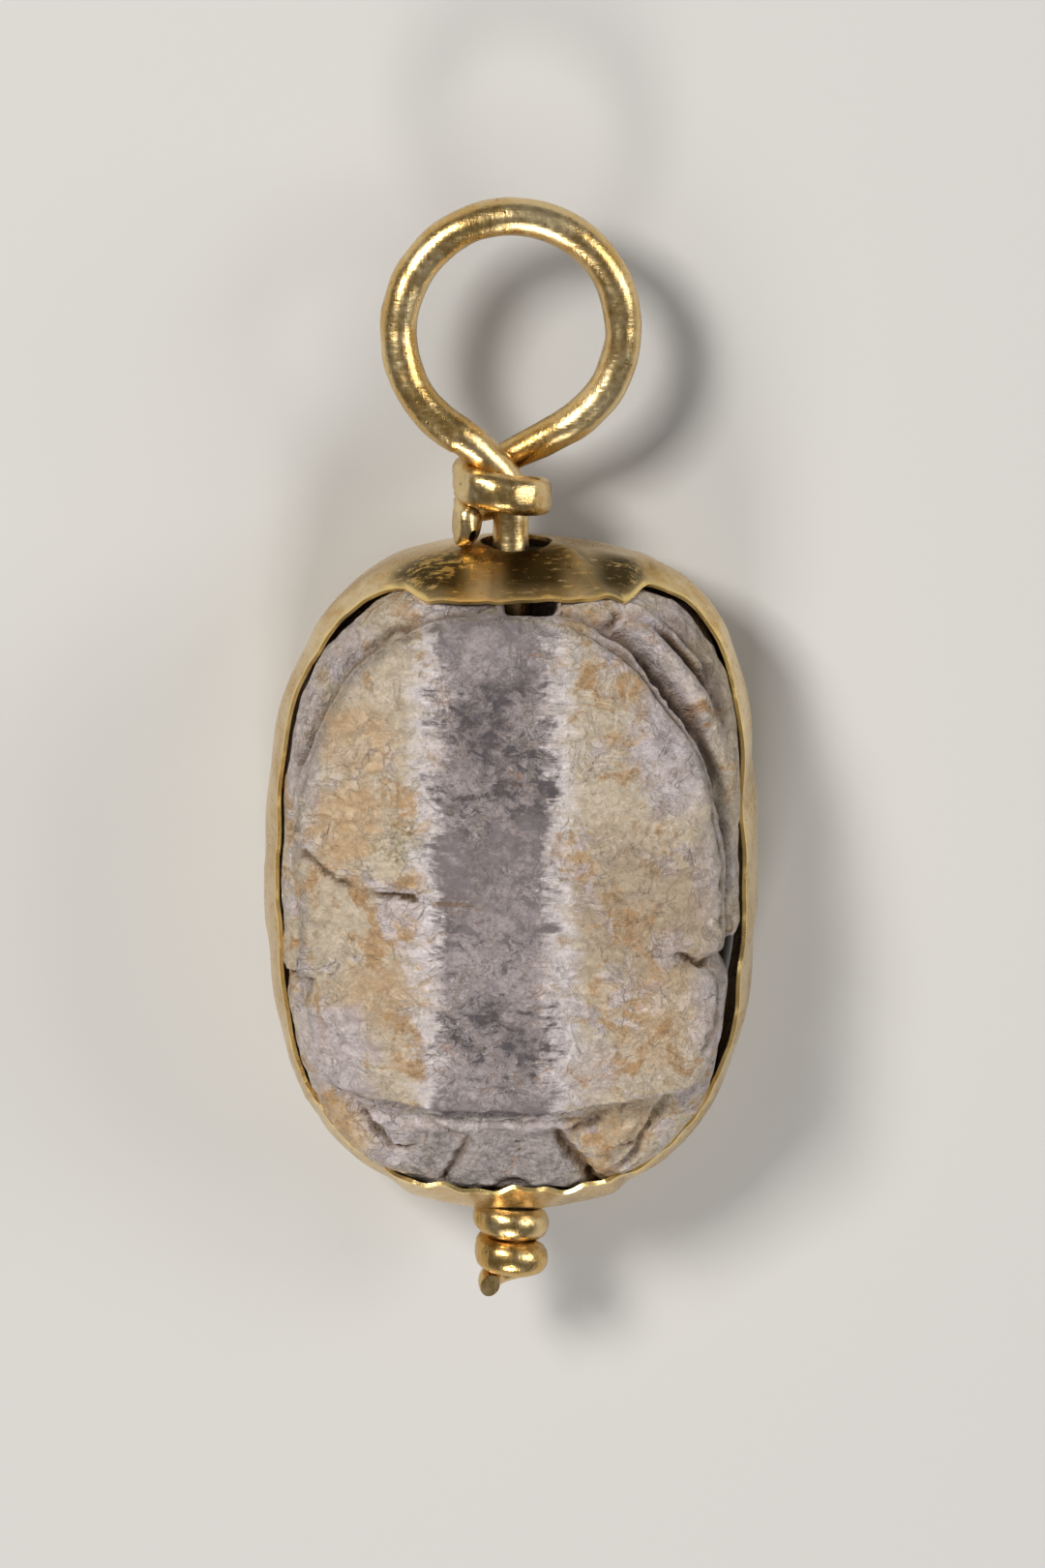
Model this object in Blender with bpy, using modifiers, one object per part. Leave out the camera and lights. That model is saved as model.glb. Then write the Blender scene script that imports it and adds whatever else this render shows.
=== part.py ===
"""Scarab amulet: a carved steatite beetle in a gold mount.

The amulet lies on its flat base. +Z is up, the beetle's head points to -Y and
the hanging ring to +Y. The origin is the middle of the base. There are three
pieces: the stone, the gold strip round its edge, and one gold wire that is
bent into the ring, knotted, led through the stone and coiled at its far end.
"""
import math

import bmesh
import bpy
from mathutils import Matrix, Vector

MM = 0.001

# Stone
STONE_LENGTH = 24.8 * MM
STONE_WIDTH = 18.5 * MM
STONE_HEIGHT = 12.6 * MM
OUTLINE_POWER = 2.8
BORE_HEIGHT = 5.7 * MM
BORE_DIAMETER = 2.1 * MM
BORE_MOUTH_DIAMETER = 3.4 * MM
BORE_MOUTH_DEPTH = 1.0 * MM
NICK_WIDTH = 1.1 * MM
GROOVE_WIDTH = 0.7 * MM
GROOVE_DEPTH = 0.5 * MM

# Gold strip round the stone
STRIP_THICKNESS = 0.3 * MM
STRIP_CLEARANCE = 0.3 * MM
STRIP_LIFT = 0.3 * MM
STRIP_WIDTH = 6.5 * MM
SIDE_BULGE = 0.55 * MM
TAIL_BULGE = 0.4 * MM
HEAD_BULGE = 0.65 * MM
LEFT_TAIL_CORNER = 0.2
RIGHT_TAIL_CORNER = 1.0
LOBE_RISE = 2.1 * MM
LOBE_WIDTH = 10.2 * MM
LOBE_SHOULDER = 1.4 * MM
LIP_WIDTH = 4.4 * MM
TAIL_LIP_RISE = 0.65 * MM
HEAD_LIP_RISE = 0.1 * MM
HOLE_CLEARANCE = 0.6 * MM
COIL_CLEARANCE = 0.2 * MM

# Gold wire: its diameter at each stretch
RING_WIRE = 1.6 * MM
STEM_WIRE = 1.4 * MM
KNOT_WIRE = 1.16 * MM
COIL_WIRE = 1.36 * MM
CUT_END_WIRE = 0.9 * MM

# Ring, knot and coil
RING_OPENING_WIDTH = 7.7 * MM
RING_OPENING_HEIGHT = 7.95 * MM
RING_STEM = 3.7 * MM
KNOT_WIDTH = 4.5 * MM
KNOT_SHIFT = 0.36 * MM
KNOT_PITCH = 1.5 * MM
KNOT_DROP = 1.97 * MM
BRANCH_OFFSET = 0.65 * MM
COIL_WIDTH = 3.1 * MM
COIL_PITCH = 1.45 * MM
COIL_TURNS = 2.0

# Fineness of the solids
AROUND_STONE = 72
AROUND_STRIP = 104
ROWS_OF_STRIP = 6
STEPS_PER_TURN = 15


def outline_radius(angle, half_width, half_length, power=OUTLINE_POWER):
    """Distance from the middle to a rounded oblong outline, in one direction."""
    across = abs(math.cos(angle) / half_width) ** power
    along = abs(math.sin(angle) / half_length) ** power
    return (across + along) ** (-1.0 / power)


def smooth(value):
    """Ease from 0 to 1."""
    value = min(max(value, 0.0), 1.0)
    return value * value * (3.0 - 2.0 * value)


def new_collection(name, parent=None):
    collection = bpy.data.collections.new(name)
    (parent or bpy.context.scene.collection).children.link(collection)
    return collection


def new_material(name, colour, roughness, metallic):
    material = bpy.data.materials.new(name)
    material.use_nodes = True
    shader = material.node_tree.nodes["Principled BSDF"]
    shader.inputs["Base Color"].default_value = (*colour, 1.0)
    shader.inputs["Roughness"].default_value = roughness
    shader.inputs["Metallic"].default_value = metallic
    return material


def new_object(name, mesh, collection, material=None):
    obj = bpy.data.objects.new(name, mesh)
    collection.objects.link(obj)
    if material is not None:
        mesh.materials.append(material)
    return obj


def make_helper(obj):
    """Mark a cutter or an added shape, which is no piece of its own."""
    obj.hide_render = True
    obj.display_type = "WIRE"
    return obj


def join_or_cut(obj, other, operation):
    """Join or cut with one helper, or with all those of a collection at once."""
    step = obj.modifiers.new(other.name, "BOOLEAN")
    if isinstance(other, bpy.types.Collection):
        step.operand_type = "COLLECTION"
        step.collection = other
    else:
        step.object = other
    step.operation = operation
    step.solver = "EXACT"


def shade_round(obj, angle=35.0):
    obj.data.shade_smooth()
    obj.data.set_sharp_from_angle(angle=math.radians(angle))


def oblong_turning(name, profile, reach, collection, material=None):
    """Turn a profile of (share of the radius, height) about Z, then draw each
    ring out to the outline that reach gives for its direction."""
    mesh = bpy.data.meshes.new(name)
    work = bmesh.new()
    verts = [work.verts.new((share, 0.0, height)) for share, height in profile]
    edges = [work.edges.new(pair) for pair in zip(verts, verts[1:])]
    bmesh.ops.spin(work, geom=verts + edges, axis=(0, 0, 1), cent=(0, 0, 0),
                   angle=math.tau, steps=AROUND_STONE, use_duplicate=False)
    bmesh.ops.remove_doubles(work, verts=work.verts, dist=1e-5)
    for vert in work.verts:
        angle = math.atan2(vert.co.y, vert.co.x)
        share = math.hypot(vert.co.x, vert.co.y)
        radius = share * reach(angle)
        vert.co.x = radius * math.cos(angle)
        vert.co.y = radius * math.sin(angle)
    bmesh.ops.recalc_face_normals(work, faces=work.faces)
    work.to_mesh(mesh)
    work.free()
    return new_object(name, mesh, collection, material)


def stone_edge(angle):
    return outline_radius(angle, STONE_WIDTH / 2, STONE_LENGTH / 2)


def back_edge(angle):
    """Outline of the wing cases: nearly at the stone's edge on the left, and
    drawn in on the right of the tail, where the legs show beside them."""
    towards_tail = smooth(math.sin(angle) / 0.35)
    towards_right = smooth(0.5 + math.cos(angle))
    power = OUTLINE_POWER - 0.55 * towards_tail * towards_right
    half_width = 0.955 * STONE_WIDTH / 2
    half_length = 0.97 * STONE_LENGTH / 2
    return outline_radius(angle, half_width, half_length, power)


def rod_on_bore(name, profile, collection, sides=24):
    """A turned cutter on the bore's axis, from (place along Y, diameter) pairs."""
    mesh = bpy.data.meshes.new(name)
    work = bmesh.new()
    points = [(0.0, profile[0][0])]
    points += [(diameter / 2, place) for place, diameter in profile]
    points += [(0.0, profile[-1][0])]
    verts = [work.verts.new((radius, place, 0.0)) for radius, place in points]
    edges = [work.edges.new(pair) for pair in zip(verts, verts[1:])]
    bmesh.ops.spin(work, geom=verts + edges, axis=(0, 1, 0), cent=(0, 0, 0),
                   angle=math.tau, steps=sides, use_duplicate=False)
    bmesh.ops.remove_doubles(work, verts=work.verts, dist=1e-6)
    bmesh.ops.recalc_face_normals(work, faces=work.faces)
    half_side = Matrix.Rotation(math.pi / sides, 4, "Y")
    bmesh.ops.transform(work, matrix=Matrix.Translation((0.0, 0.0, BORE_HEIGHT)) @ half_side,
                        verts=work.verts)
    work.to_mesh(mesh)
    work.free()
    return make_helper(new_object(name, mesh, collection))


def wedge(name, tip, tail, width, height, collection):
    """A three-sided blade from tip to tail, pointed at the tip, for V-shaped
    cuts. Its keel points down by height under the line of its upper edges."""
    mesh = bpy.data.meshes.new(name)
    work = bmesh.new()
    run = Vector(tail) - Vector(tip)
    side = Vector((-run.y, run.x, 0.0)).normalized() * (width / 2)
    deep = Vector((0.0, 0.0, -height))
    high = Vector((0.0, 0.0, STONE_HEIGHT))
    point = work.verts.new(tip)
    point_top = work.verts.new(Vector(tip) + high)
    keel = work.verts.new(Vector(tail) + deep)
    left = work.verts.new(Vector(tail) + side)
    right = work.verts.new(Vector(tail) - side)
    left_top = work.verts.new(left.co + high)
    right_top = work.verts.new(right.co + high)
    bmesh.ops.convex_hull(work, input=[point, point_top, keel, left, right, left_top, right_top])
    bmesh.ops.recalc_face_normals(work, faces=work.faces)
    work.to_mesh(mesh)
    work.free()
    return make_helper(new_object(name, mesh, collection))


def height_at(profile, share):
    """Height of a turned profile's upper face at a share of its radius."""
    for (outer, low), (inner, high) in zip(profile, profile[1:]):
        if inner <= share < outer:
            return low + (high - low) * (outer - share) / (outer - inner)
    return max(height for radius, height in profile if radius == 1.0)


def make_stone(pieces, helpers, material):
    """The beetle: a plinth-like body with a low top, the back as a higher dome
    that ends in a curved step before the head, and the cuts of the carver."""
    high = STONE_HEIGHT
    body_profile = [(0.0, 0.0), (0.96, 0.0), (1.0, 0.03 * high), (1.0, 0.62 * high),
                    (0.985, 0.675 * high), (0.96, 0.7 * high), (0.88, 0.725 * high),
                    (0.74, 0.775 * high), (0.5, 0.83 * high), (0.0, 0.85 * high)]
    stone = oblong_turning("scarab", body_profile, stone_edge, pieces, material)

    back_profile = [(0.0, 0.4 * high), (0.97, 0.4 * high), (1.0, 0.74 * high),
                    (0.985, 0.79 * high), (0.94, 0.838 * high), (0.86, 0.884 * high),
                    (0.74, 0.927 * high), (0.56, 0.966 * high), (0.32, 0.991 * high), (0.0, high)]
    back = make_helper(oblong_turning("back", back_profile, back_edge, helpers))

    # The step before the head is a wide arc, a little nearer the middle at the top
    step_y = -0.352 * STONE_LENGTH
    step_radius = 1.3 * STONE_LENGTH
    mesh = bpy.data.meshes.new("step")
    work = bmesh.new()
    centre = Matrix.Translation((0.0, step_y + step_radius, 0.65 * high))
    bmesh.ops.create_cone(work, cap_ends=True, segments=160, radius1=step_radius * 1.014,
                          radius2=step_radius * 0.99, depth=1.5 * high, matrix=centre)
    work.to_mesh(mesh)
    work.free()
    step = make_helper(new_object("step", mesh, helpers))
    join_or_cut(back, step, "INTERSECT")
    join_or_cut(stone, back, "UNION")

    half_width = STONE_WIDTH / 2
    half_length = STONE_LENGTH / 2

    def place(across, along, up):
        return Vector((across * half_width, along * half_length, up * high))

    def on_body(across, along, lift=0.0):
        """A place on the body's top, or above it by lift."""
        spot = place(across, along, 0.0)
        share = spot.length / stone_edge(math.atan2(spot.y, spot.x))
        spot.z = height_at(body_profile, share) + lift
        return spot

    cuts = new_collection("stone_cuts", helpers)
    # The nicks between the wing cases and the front of the back
    wedge("left_nick", place(-0.77, -0.265, 0.86), place(-1.1, -0.285, 0.62),
          NICK_WIDTH, 0.1 * high, cuts)
    wedge("right_nick", place(0.7, -0.15, 0.88), place(1.1, -0.26, 0.61),
          NICK_WIDTH, 0.1 * high, cuts)
    # The slanted grooves beside the head plate
    groove_lift = 0.25 * GROOVE_DEPTH
    wedge("left_head_groove", on_body(-0.17, -0.74), on_body(-0.34, -0.97, groove_lift),
          1.4 * GROOVE_WIDTH, GROOVE_DEPTH, cuts)
    wedge("right_head_groove", on_body(0.17, -0.73), on_body(0.37, -0.96, groove_lift),
          1.8 * GROOVE_WIDTH, 1.3 * GROOVE_DEPTH, cuts)
    # The lines between the front legs and the edge of the body
    wedge("left_leg_line", on_body(-0.76, -0.62), on_body(-0.5, -0.93, groove_lift),
          GROOVE_WIDTH, 0.8 * GROOVE_DEPTH, cuts)
    wedge("right_leg_line", on_body(0.77, -0.6), on_body(0.5, -0.94, groove_lift),
          1.2 * GROOVE_WIDTH, 0.8 * GROOVE_DEPTH, cuts)
    # The bore opens out at both mouths
    past = 0.1 * STONE_LENGTH
    widening = (BORE_MOUTH_DIAMETER - BORE_DIAMETER) / BORE_MOUTH_DEPTH
    flare = BORE_MOUTH_DIAMETER + past * widening
    inner = half_length - BORE_MOUTH_DEPTH
    outer = half_length + past
    bore = [(-outer, flare), (-inner, BORE_DIAMETER), (inner, BORE_DIAMETER), (outer, flare)]
    rod_on_bore("bore", bore, cuts)
    join_or_cut(stone, cuts, "DIFFERENCE")
    shade_round(stone)
    return stone


def strip_power(angle):
    """The sheet stands off the stone's round corners at the tail, most on the right."""
    towards_tail = smooth(math.sin(angle) / 0.35)
    towards_right = smooth(0.5 + math.cos(angle))
    corner = LEFT_TAIL_CORNER + (RIGHT_TAIL_CORNER - LEFT_TAIL_CORNER) * towards_right
    return OUTLINE_POWER + corner * towards_tail


def strip_point(angle, row):
    """A point on the strip's inner face: row runs from 0 at its lower edge to 1
    at its upper edge."""
    swell = 4.0 * row * (1.0 - row)
    end_bulge = TAIL_BULGE if math.sin(angle) > 0.0 else HEAD_BULGE
    half_width = STONE_WIDTH / 2 + STRIP_CLEARANCE + SIDE_BULGE * swell
    half_length = STONE_LENGTH / 2 + STRIP_CLEARANCE + end_bulge * swell
    radius = outline_radius(angle, half_width, half_length, strip_power(angle))
    x = radius * math.cos(angle)
    y = radius * math.sin(angle)
    # The upper edge stands higher in a lobe at each end
    at_end = smooth((abs(y) / half_length - 0.8) / 0.1)
    lobe = at_end * smooth((LOBE_WIDTH / 2 - abs(x)) / LOBE_SHOULDER)
    z = STRIP_LIFT + row * (STRIP_WIDTH + LOBE_RISE * lobe)
    # The sheet is pushed outwards round the wire
    rise = TAIL_LIP_RISE if y > 0.0 else HEAD_LIP_RISE
    away = math.hypot(x, z - BORE_HEIGHT) / (LIP_WIDTH / 2)
    push = at_end * rise * smooth(1.5 - away)
    return (x, y + math.copysign(push, y), z)


def make_strip(pieces, helpers, material):
    """Thin gold sheet bent round the stone's edge and pierced at both ends."""
    mesh = bpy.data.meshes.new("gold_strip")
    work = bmesh.new()
    loop = bmesh.ops.create_circle(work, segments=AROUND_STRIP, radius=1.0)["verts"]
    edges = list({edge for vert in loop for edge in vert.link_edges})
    for row in range(1, ROWS_OF_STRIP + 1):
        raised = bmesh.ops.extrude_edge_only(work, edges=edges)["geom"]
        edges = [item for item in raised if isinstance(item, bmesh.types.BMEdge)]
        for vert in (item for item in raised if isinstance(item, bmesh.types.BMVert)):
            vert.co.z = row / ROWS_OF_STRIP
    for vert in work.verts:
        vert.co = strip_point(math.atan2(vert.co.y, vert.co.x), vert.co.z)
    bmesh.ops.recalc_face_normals(work, faces=work.faces)
    work.to_mesh(mesh)
    work.free()
    strip = new_object("gold_strip", mesh, pieces, material)
    wall = strip.modifiers.new("sheet", "SOLIDIFY")
    wall.thickness = STRIP_THICKNESS
    wall.offset = 1.0
    wall.use_even_offset = True
    hole = STEM_WIRE + 2 * HOLE_CLEARANCE
    inner = STONE_LENGTH / 2 - STRIP_CLEARANCE
    outer = STONE_LENGTH / 2 + STRIP_CLEARANCE + STRIP_THICKNESS + HEAD_BULGE + TAIL_LIP_RISE + hole
    for name, start, end in (("tail_hole", inner, outer), ("head_hole", -outer, -inner)):
        join_or_cut(strip, rod_on_bore(name, [(start, hole), (end, hole)], helpers), "DIFFERENCE")
    shade_round(strip)
    return strip


def bend(start, start_pull, end, end_pull, count):
    """Points between two places, leaving and arriving along the given pulls."""
    points = []
    for step in range(1, count + 1):
        s = step / (count + 1)
        points.append((2 * s ** 3 - 3 * s ** 2 + 1) * start + (s ** 3 - 2 * s ** 2 + s) * start_pull
                      + (3 * s ** 2 - 2 * s ** 3) * end + (s ** 3 - s ** 2) * end_pull)
    return points


def wire_route():
    """Centre line of the wire with its diameter at each point, from the coil's
    cut end, through the stone and round the ring, to the knot's cut end."""
    route = []

    def add(points, first_width, last_width=None):
        last = first_width if last_width is None else last_width
        for index, point in enumerate(points):
            share = index / max(len(points) - 1, 1)
            route.append((point, first_width + (last - first_width) * share))

    sheet = STONE_LENGTH / 2 + STRIP_CLEARANCE + STRIP_THICKNESS
    head_lip = -sheet - HEAD_BULGE - HEAD_LIP_RISE
    tail_lip = sheet + TAIL_BULGE + TAIL_LIP_RISE

    # Coil below the head: it sinks as it turns from the left over the front
    coil_radius = (COIL_WIDTH - COIL_WIRE) / 2
    coil_top = head_lip - COIL_CLEARANCE - COIL_WIRE / 2
    coil_start = math.radians(160.0)

    def coil(turn):
        angle = coil_start + math.tau * turn
        return Vector((coil_radius * math.cos(angle), coil_top - (COIL_TURNS - turn) * COIL_PITCH,
                       BORE_HEIGHT + coil_radius * math.sin(angle)))

    steps = round(COIL_TURNS * STEPS_PER_TURN)
    turns = [COIL_TURNS * step / steps for step in range(steps + 1)]
    tapered = steps // 5
    add([coil(turn) for turn in turns[:tapered]], CUT_END_WIRE, COIL_WIRE)
    add([coil(turn) for turn in turns[tapered:]], COIL_WIRE)

    # Into the bore
    mouth = Vector((0.0, -STONE_LENGTH / 2 - STRIP_CLEARANCE, BORE_HEIGHT))
    leaving = (coil(COIL_TURNS) - coil(COIL_TURNS - 0.05)).normalized() * 1.6 * coil_radius
    arriving = Vector((0.0, 1.6 * (mouth.y - coil_top), 0.0))
    add(bend(coil(COIL_TURNS), leaving, mouth, arriving, 6), COIL_WIRE, STEM_WIRE)
    add([mouth, -mouth + Vector((0.0, 0.0, 2 * BORE_HEIGHT))], STEM_WIRE)

    # Ring: an upright oval, its left side a little in front of its right side
    half_width = (RING_OPENING_WIDTH + RING_WIRE) / 2
    half_height = (RING_OPENING_HEIGHT + RING_WIRE) / 2
    ring_y = tail_lip + RING_STEM + RING_WIRE / 2 + half_height
    first_angle = math.radians(243.0)
    last_angle = math.radians(-57.0)

    def ring(angle):
        share = (angle - last_angle) / (first_angle - last_angle)
        lift = BRANCH_OFFSET * (1.0 - 2.3 * (1.0 - share))
        return Vector((half_width * math.cos(angle), ring_y + half_height * math.sin(angle),
                       BORE_HEIGHT + lift))

    knot_y = ring(last_angle).y - KNOT_DROP
    throat = Vector((0.0, knot_y - 0.5 * KNOT_PITCH, BORE_HEIGHT))
    tangent = (ring(first_angle - 0.02) - ring(first_angle)).normalized()
    neck_pull = Vector((0.0, 1.0, 0.0)) * 1.6 * RING_WIRE
    add([throat - Vector((0.0, RING_WIRE, 0.0)), throat], STEM_WIRE, 0.88 * STEM_WIRE)
    add(bend(throat, neck_pull, ring(first_angle), tangent * 1.4 * RING_WIRE, 6),
        0.88 * STEM_WIRE, 0.95 * RING_WIRE)
    steps = round(2.2 * STEPS_PER_TURN)
    sweep = [first_angle + (last_angle - first_angle) * step / steps for step in range(steps + 1)]
    add([ring(angle) for angle in sweep], RING_WIRE)

    # Knot: behind the stem, round its left side to the front, and once more to
    # the left, where the wire is cut
    across = (KNOT_WIDTH - KNOT_WIRE) / 2
    deep = 0.94 * across

    def knot(degrees):
        angle = math.radians(degrees)
        return Vector((-KNOT_SHIFT - across * math.cos(angle), knot_y - KNOT_PITCH * degrees / 360.0,
                       BORE_HEIGHT + deep * math.sin(angle)))

    first_turn = -50.0
    last_turn = 402.0
    tangent = (ring(last_angle) - ring(last_angle + 0.02)).normalized()
    arriving = (knot(first_turn + 1.0) - knot(first_turn)).normalized()
    add(bend(ring(last_angle), tangent * 2.4 * RING_WIRE, knot(first_turn), arriving * 1.6 * RING_WIRE, 7),
        RING_WIRE, KNOT_WIRE)
    steps = round(1.4 * STEPS_PER_TURN)
    sweep = [first_turn + (last_turn - first_turn) * step / steps for step in range(steps + 1)]
    add([knot(degrees) for degrees in sweep[:-4]], KNOT_WIRE)
    add([knot(degrees) for degrees in sweep[-4:]], KNOT_WIRE, CUT_END_WIRE)
    return route


def make_wire(pieces, material):
    """One round gold wire, as a tube along its route."""
    curve = bpy.data.curves.new("gold_wire", "CURVE")
    curve.dimensions = "3D"
    curve.bevel_depth = RING_WIRE / 2
    curve.bevel_resolution = 3
    curve.render_resolution_u = 0
    curve.use_fill_caps = True
    route = wire_route()
    spline = curve.splines.new("POLY")
    spline.points.add(len(route) - 1)
    for point, (place, width) in zip(spline.points, route):
        point.co = (*place, 1.0)
        point.radius = width / RING_WIRE
    guide = bpy.data.objects.new("wire_guide", curve)
    bpy.context.scene.collection.objects.link(guide)
    evaluated = guide.evaluated_get(bpy.context.evaluated_depsgraph_get())
    mesh = bpy.data.meshes.new_from_object(evaluated)
    place = guide.matrix_world.copy()
    bpy.data.objects.remove(guide)
    work = bmesh.new()
    work.from_mesh(mesh)
    bmesh.ops.remove_doubles(work, verts=work.verts, dist=1e-6)
    bmesh.ops.recalc_face_normals(work, faces=work.faces)
    work.to_mesh(mesh)
    work.free()
    mesh.name = "gold_wire"
    wire = new_object("gold_wire", mesh, pieces, material)
    wire.matrix_world = place
    shade_round(wire, 50.0)
    return wire


def build():
    for obj in list(bpy.data.objects):
        bpy.data.objects.remove(obj)
    pieces = new_collection("scarab_amulet")
    helpers = new_collection("cutters")
    steatite = new_material("steatite", (0.56, 0.47, 0.35), 0.62, 0.0)
    sheet_gold = new_material("sheet_gold", (0.83, 0.60, 0.22), 0.3, 1.0)
    wire_gold = new_material("wire_gold", (0.86, 0.64, 0.27), 0.28, 1.0)
    make_stone(pieces, helpers, steatite)
    make_strip(pieces, helpers, sheet_gold)
    make_wire(pieces, wire_gold)


build()
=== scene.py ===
"""The looks of a scarab amulet: a carved steatite beetle in a mount of sheet gold and gold wire.

It lies on its flat base, with the beetle's head towards -Y and its back up.
Sizes are in metres. All three solids of the frame are replaced by finer ones.
"""
import math

import bpy
import numpy as np
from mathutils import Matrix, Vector


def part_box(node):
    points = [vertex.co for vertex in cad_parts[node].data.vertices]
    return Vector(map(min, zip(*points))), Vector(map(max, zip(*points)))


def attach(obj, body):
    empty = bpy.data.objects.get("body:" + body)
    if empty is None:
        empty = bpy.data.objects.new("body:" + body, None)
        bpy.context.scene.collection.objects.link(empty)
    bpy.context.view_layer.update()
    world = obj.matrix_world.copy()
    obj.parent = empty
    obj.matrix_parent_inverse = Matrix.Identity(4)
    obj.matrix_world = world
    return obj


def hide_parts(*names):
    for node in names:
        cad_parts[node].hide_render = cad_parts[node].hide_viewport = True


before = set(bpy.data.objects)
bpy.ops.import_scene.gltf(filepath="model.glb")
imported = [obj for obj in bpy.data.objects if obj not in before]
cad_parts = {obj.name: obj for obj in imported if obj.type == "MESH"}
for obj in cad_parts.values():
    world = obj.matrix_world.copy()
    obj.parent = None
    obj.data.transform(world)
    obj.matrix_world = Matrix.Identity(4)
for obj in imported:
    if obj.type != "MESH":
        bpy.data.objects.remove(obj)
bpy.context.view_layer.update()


# The stone: a beetle carved from one block of pale steatite with a dark band
# through it, worn smooth, and drilled through its length for the gold wire. Its
# blank is turned to an oblong, cut and joined, then remeshed fine and carved.

MM = 0.001
HALF_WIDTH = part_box("scarab")[1].x
HALF_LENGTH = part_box("scarab")[1].y
STONE_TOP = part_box("scarab")[1].z
BODY_EDGE = 7.8 * MM
BODY_TOP = 11.2 * MM
BODY_FULLNESS = 0.45
OVERHANG = 1.025
BACK_LOW = 5.0 * MM
BACK_EDGE = 10.4 * MM
BACK_TOP = STONE_TOP - 0.08 * MM
BACK_FULLNESS = 0.6
SQUARENESS = 2.8
BLANK_SIDES = 240
DOME_RINGS = 14
DOME_REACH = 0.985
BORE_HEIGHT = 5.7 * MM
BORE_DIAMETER = 2.1 * MM
MOUTH_START = 11.3 * MM
MOUTH_END = 13.5 * MM
MOUTH_NARROW = 1.6 * MM
MOUTH_WIDE = 4.4 * MM
STONE_GRID = 0.135 * MM
WEAR_PASSES = 3
# Directions from the middle, in radians from the right
RIGHT_NICK = -0.27
RIGHT_SHOULDER = -0.5
LEFT_NICK = -2.77


def outline_reach(angle, half_width, half_length, power):
    """Distance from the middle to a rounded oblong, in the direction of angle."""
    across = np.abs(np.cos(angle) / half_width) ** power
    along = np.abs(np.sin(angle) / half_length) ** power
    return (across + along) ** (-1.0 / power)


def ease(value):
    """From 0 to 1 with a soft start and end."""
    value = np.clip(value, 0.0, 1.0)
    return value * value * (3.0 - 2.0 * value)


def bell(value, middle, half_width):
    """1 at the middle, easing to 0 at half_width from it."""
    return ease(1.0 - np.abs(value - middle) / half_width)


def towards_tail(angle):
    """1 round the tail, easing to 0 at the sides."""
    return ease(np.sin(angle) / 0.35)


def towards_right(angle):
    """1 on the right, easing to 0 on the left."""
    return ease(0.5 + np.cos(angle))


def body_edge(angle):
    """The whole beetle with its legs: squarer at the tail, most on the right."""
    tail = towards_tail(angle)
    drawn_in = (0.085 * bell(angle, RIGHT_NICK, 0.13) + 0.035 * bell(angle, RIGHT_SHOULDER, 0.35)
                + 0.025 * bell(angle, LEFT_NICK, 0.08))
    half_length = HALF_LENGTH + 0.3 * MM * tail
    power = SQUARENESS + tail * (0.2 + 1.0 * towards_right(angle))
    return (1.0 - drawn_in) * outline_reach(angle, HALF_WIDTH, half_length, power)


def back_edge(angle):
    """The wing cases: drawn in at the right of the tail, where the legs show."""
    tail = towards_tail(angle)
    right = towards_right(angle)
    drawn_in = 0.07 * bell(angle, RIGHT_NICK, 0.08) + 0.025 * bell(angle, LEFT_NICK, 0.06)
    half_width = (0.955 + 0.035 * tail * (1.0 - 0.8 * right)) * HALF_WIDTH
    half_length = (0.97 + 0.022 * tail) * HALF_LENGTH
    power = SQUARENESS - tail * (0.3 + 0.3 * right)
    return (1.0 - drawn_in) * outline_reach(angle, half_width, half_length, power)


def places_of(piece):
    """The piece's vertices as rows of x, y, z."""
    places = np.empty(len(piece.data.vertices) * 3)
    piece.data.vertices.foreach_get("co", places)
    return places.reshape(-1, 3)


def move_to(piece, places):
    piece.data.vertices.foreach_set("co", places.ravel())
    piece.data.update()


def facing_of(piece):
    """The direction that each vertex faces."""
    facing = np.empty(len(piece.data.vertices) * 3)
    piece.data.vertex_normals.foreach_get("vector", facing)
    return facing.reshape(-1, 3)


def turned_blank(name, profile, reach):
    """A disc pulled up ring by ring, then drawn out to an outline."""
    bpy.ops.object.select_all(action="DESELECT")
    share, height = profile[0]
    bpy.ops.mesh.primitive_circle_add(vertices=BLANK_SIDES, radius=share, fill_type="NGON",
                                      location=(0.0, 0.0, height))
    blank = bpy.context.object
    blank.name = name
    bpy.ops.object.transform_apply(location=True)
    bpy.ops.object.mode_set(mode="EDIT")
    bpy.ops.mesh.select_all(action="SELECT")
    for next_share, next_height in profile[1:]:
        bpy.ops.mesh.extrude_region_move(
            TRANSFORM_OT_translate={"value": (0.0, 0.0, next_height - height)})
        scale = next_share / share
        bpy.ops.transform.resize(value=(scale, scale, 1.0))
        share, height = next_share, next_height
    bpy.ops.mesh.select_all(action="SELECT")
    bpy.ops.mesh.normals_make_consistent(inside=False)
    bpy.ops.object.mode_set(mode="OBJECT")
    places = places_of(blank)
    angle = np.arctan2(places[:, 1], places[:, 0])
    radius = np.hypot(places[:, 0], places[:, 1]) * reach(angle)
    places[:, 0] = radius * np.cos(angle)
    places[:, 1] = radius * np.sin(angle)
    move_to(blank, places)
    return blank


def combine(piece, other, operation):
    """Join or cut one solid with another, and remove the other."""
    bpy.ops.object.select_all(action="DESELECT")
    bpy.context.view_layer.objects.active = piece
    piece.select_set(True)
    step = piece.modifiers.new(operation, "BOOLEAN")
    step.object = other
    step.operation = operation
    step.solver = "EXACT"
    bpy.ops.object.modifier_apply(modifier=step.name)
    bpy.data.objects.remove(other)


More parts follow.
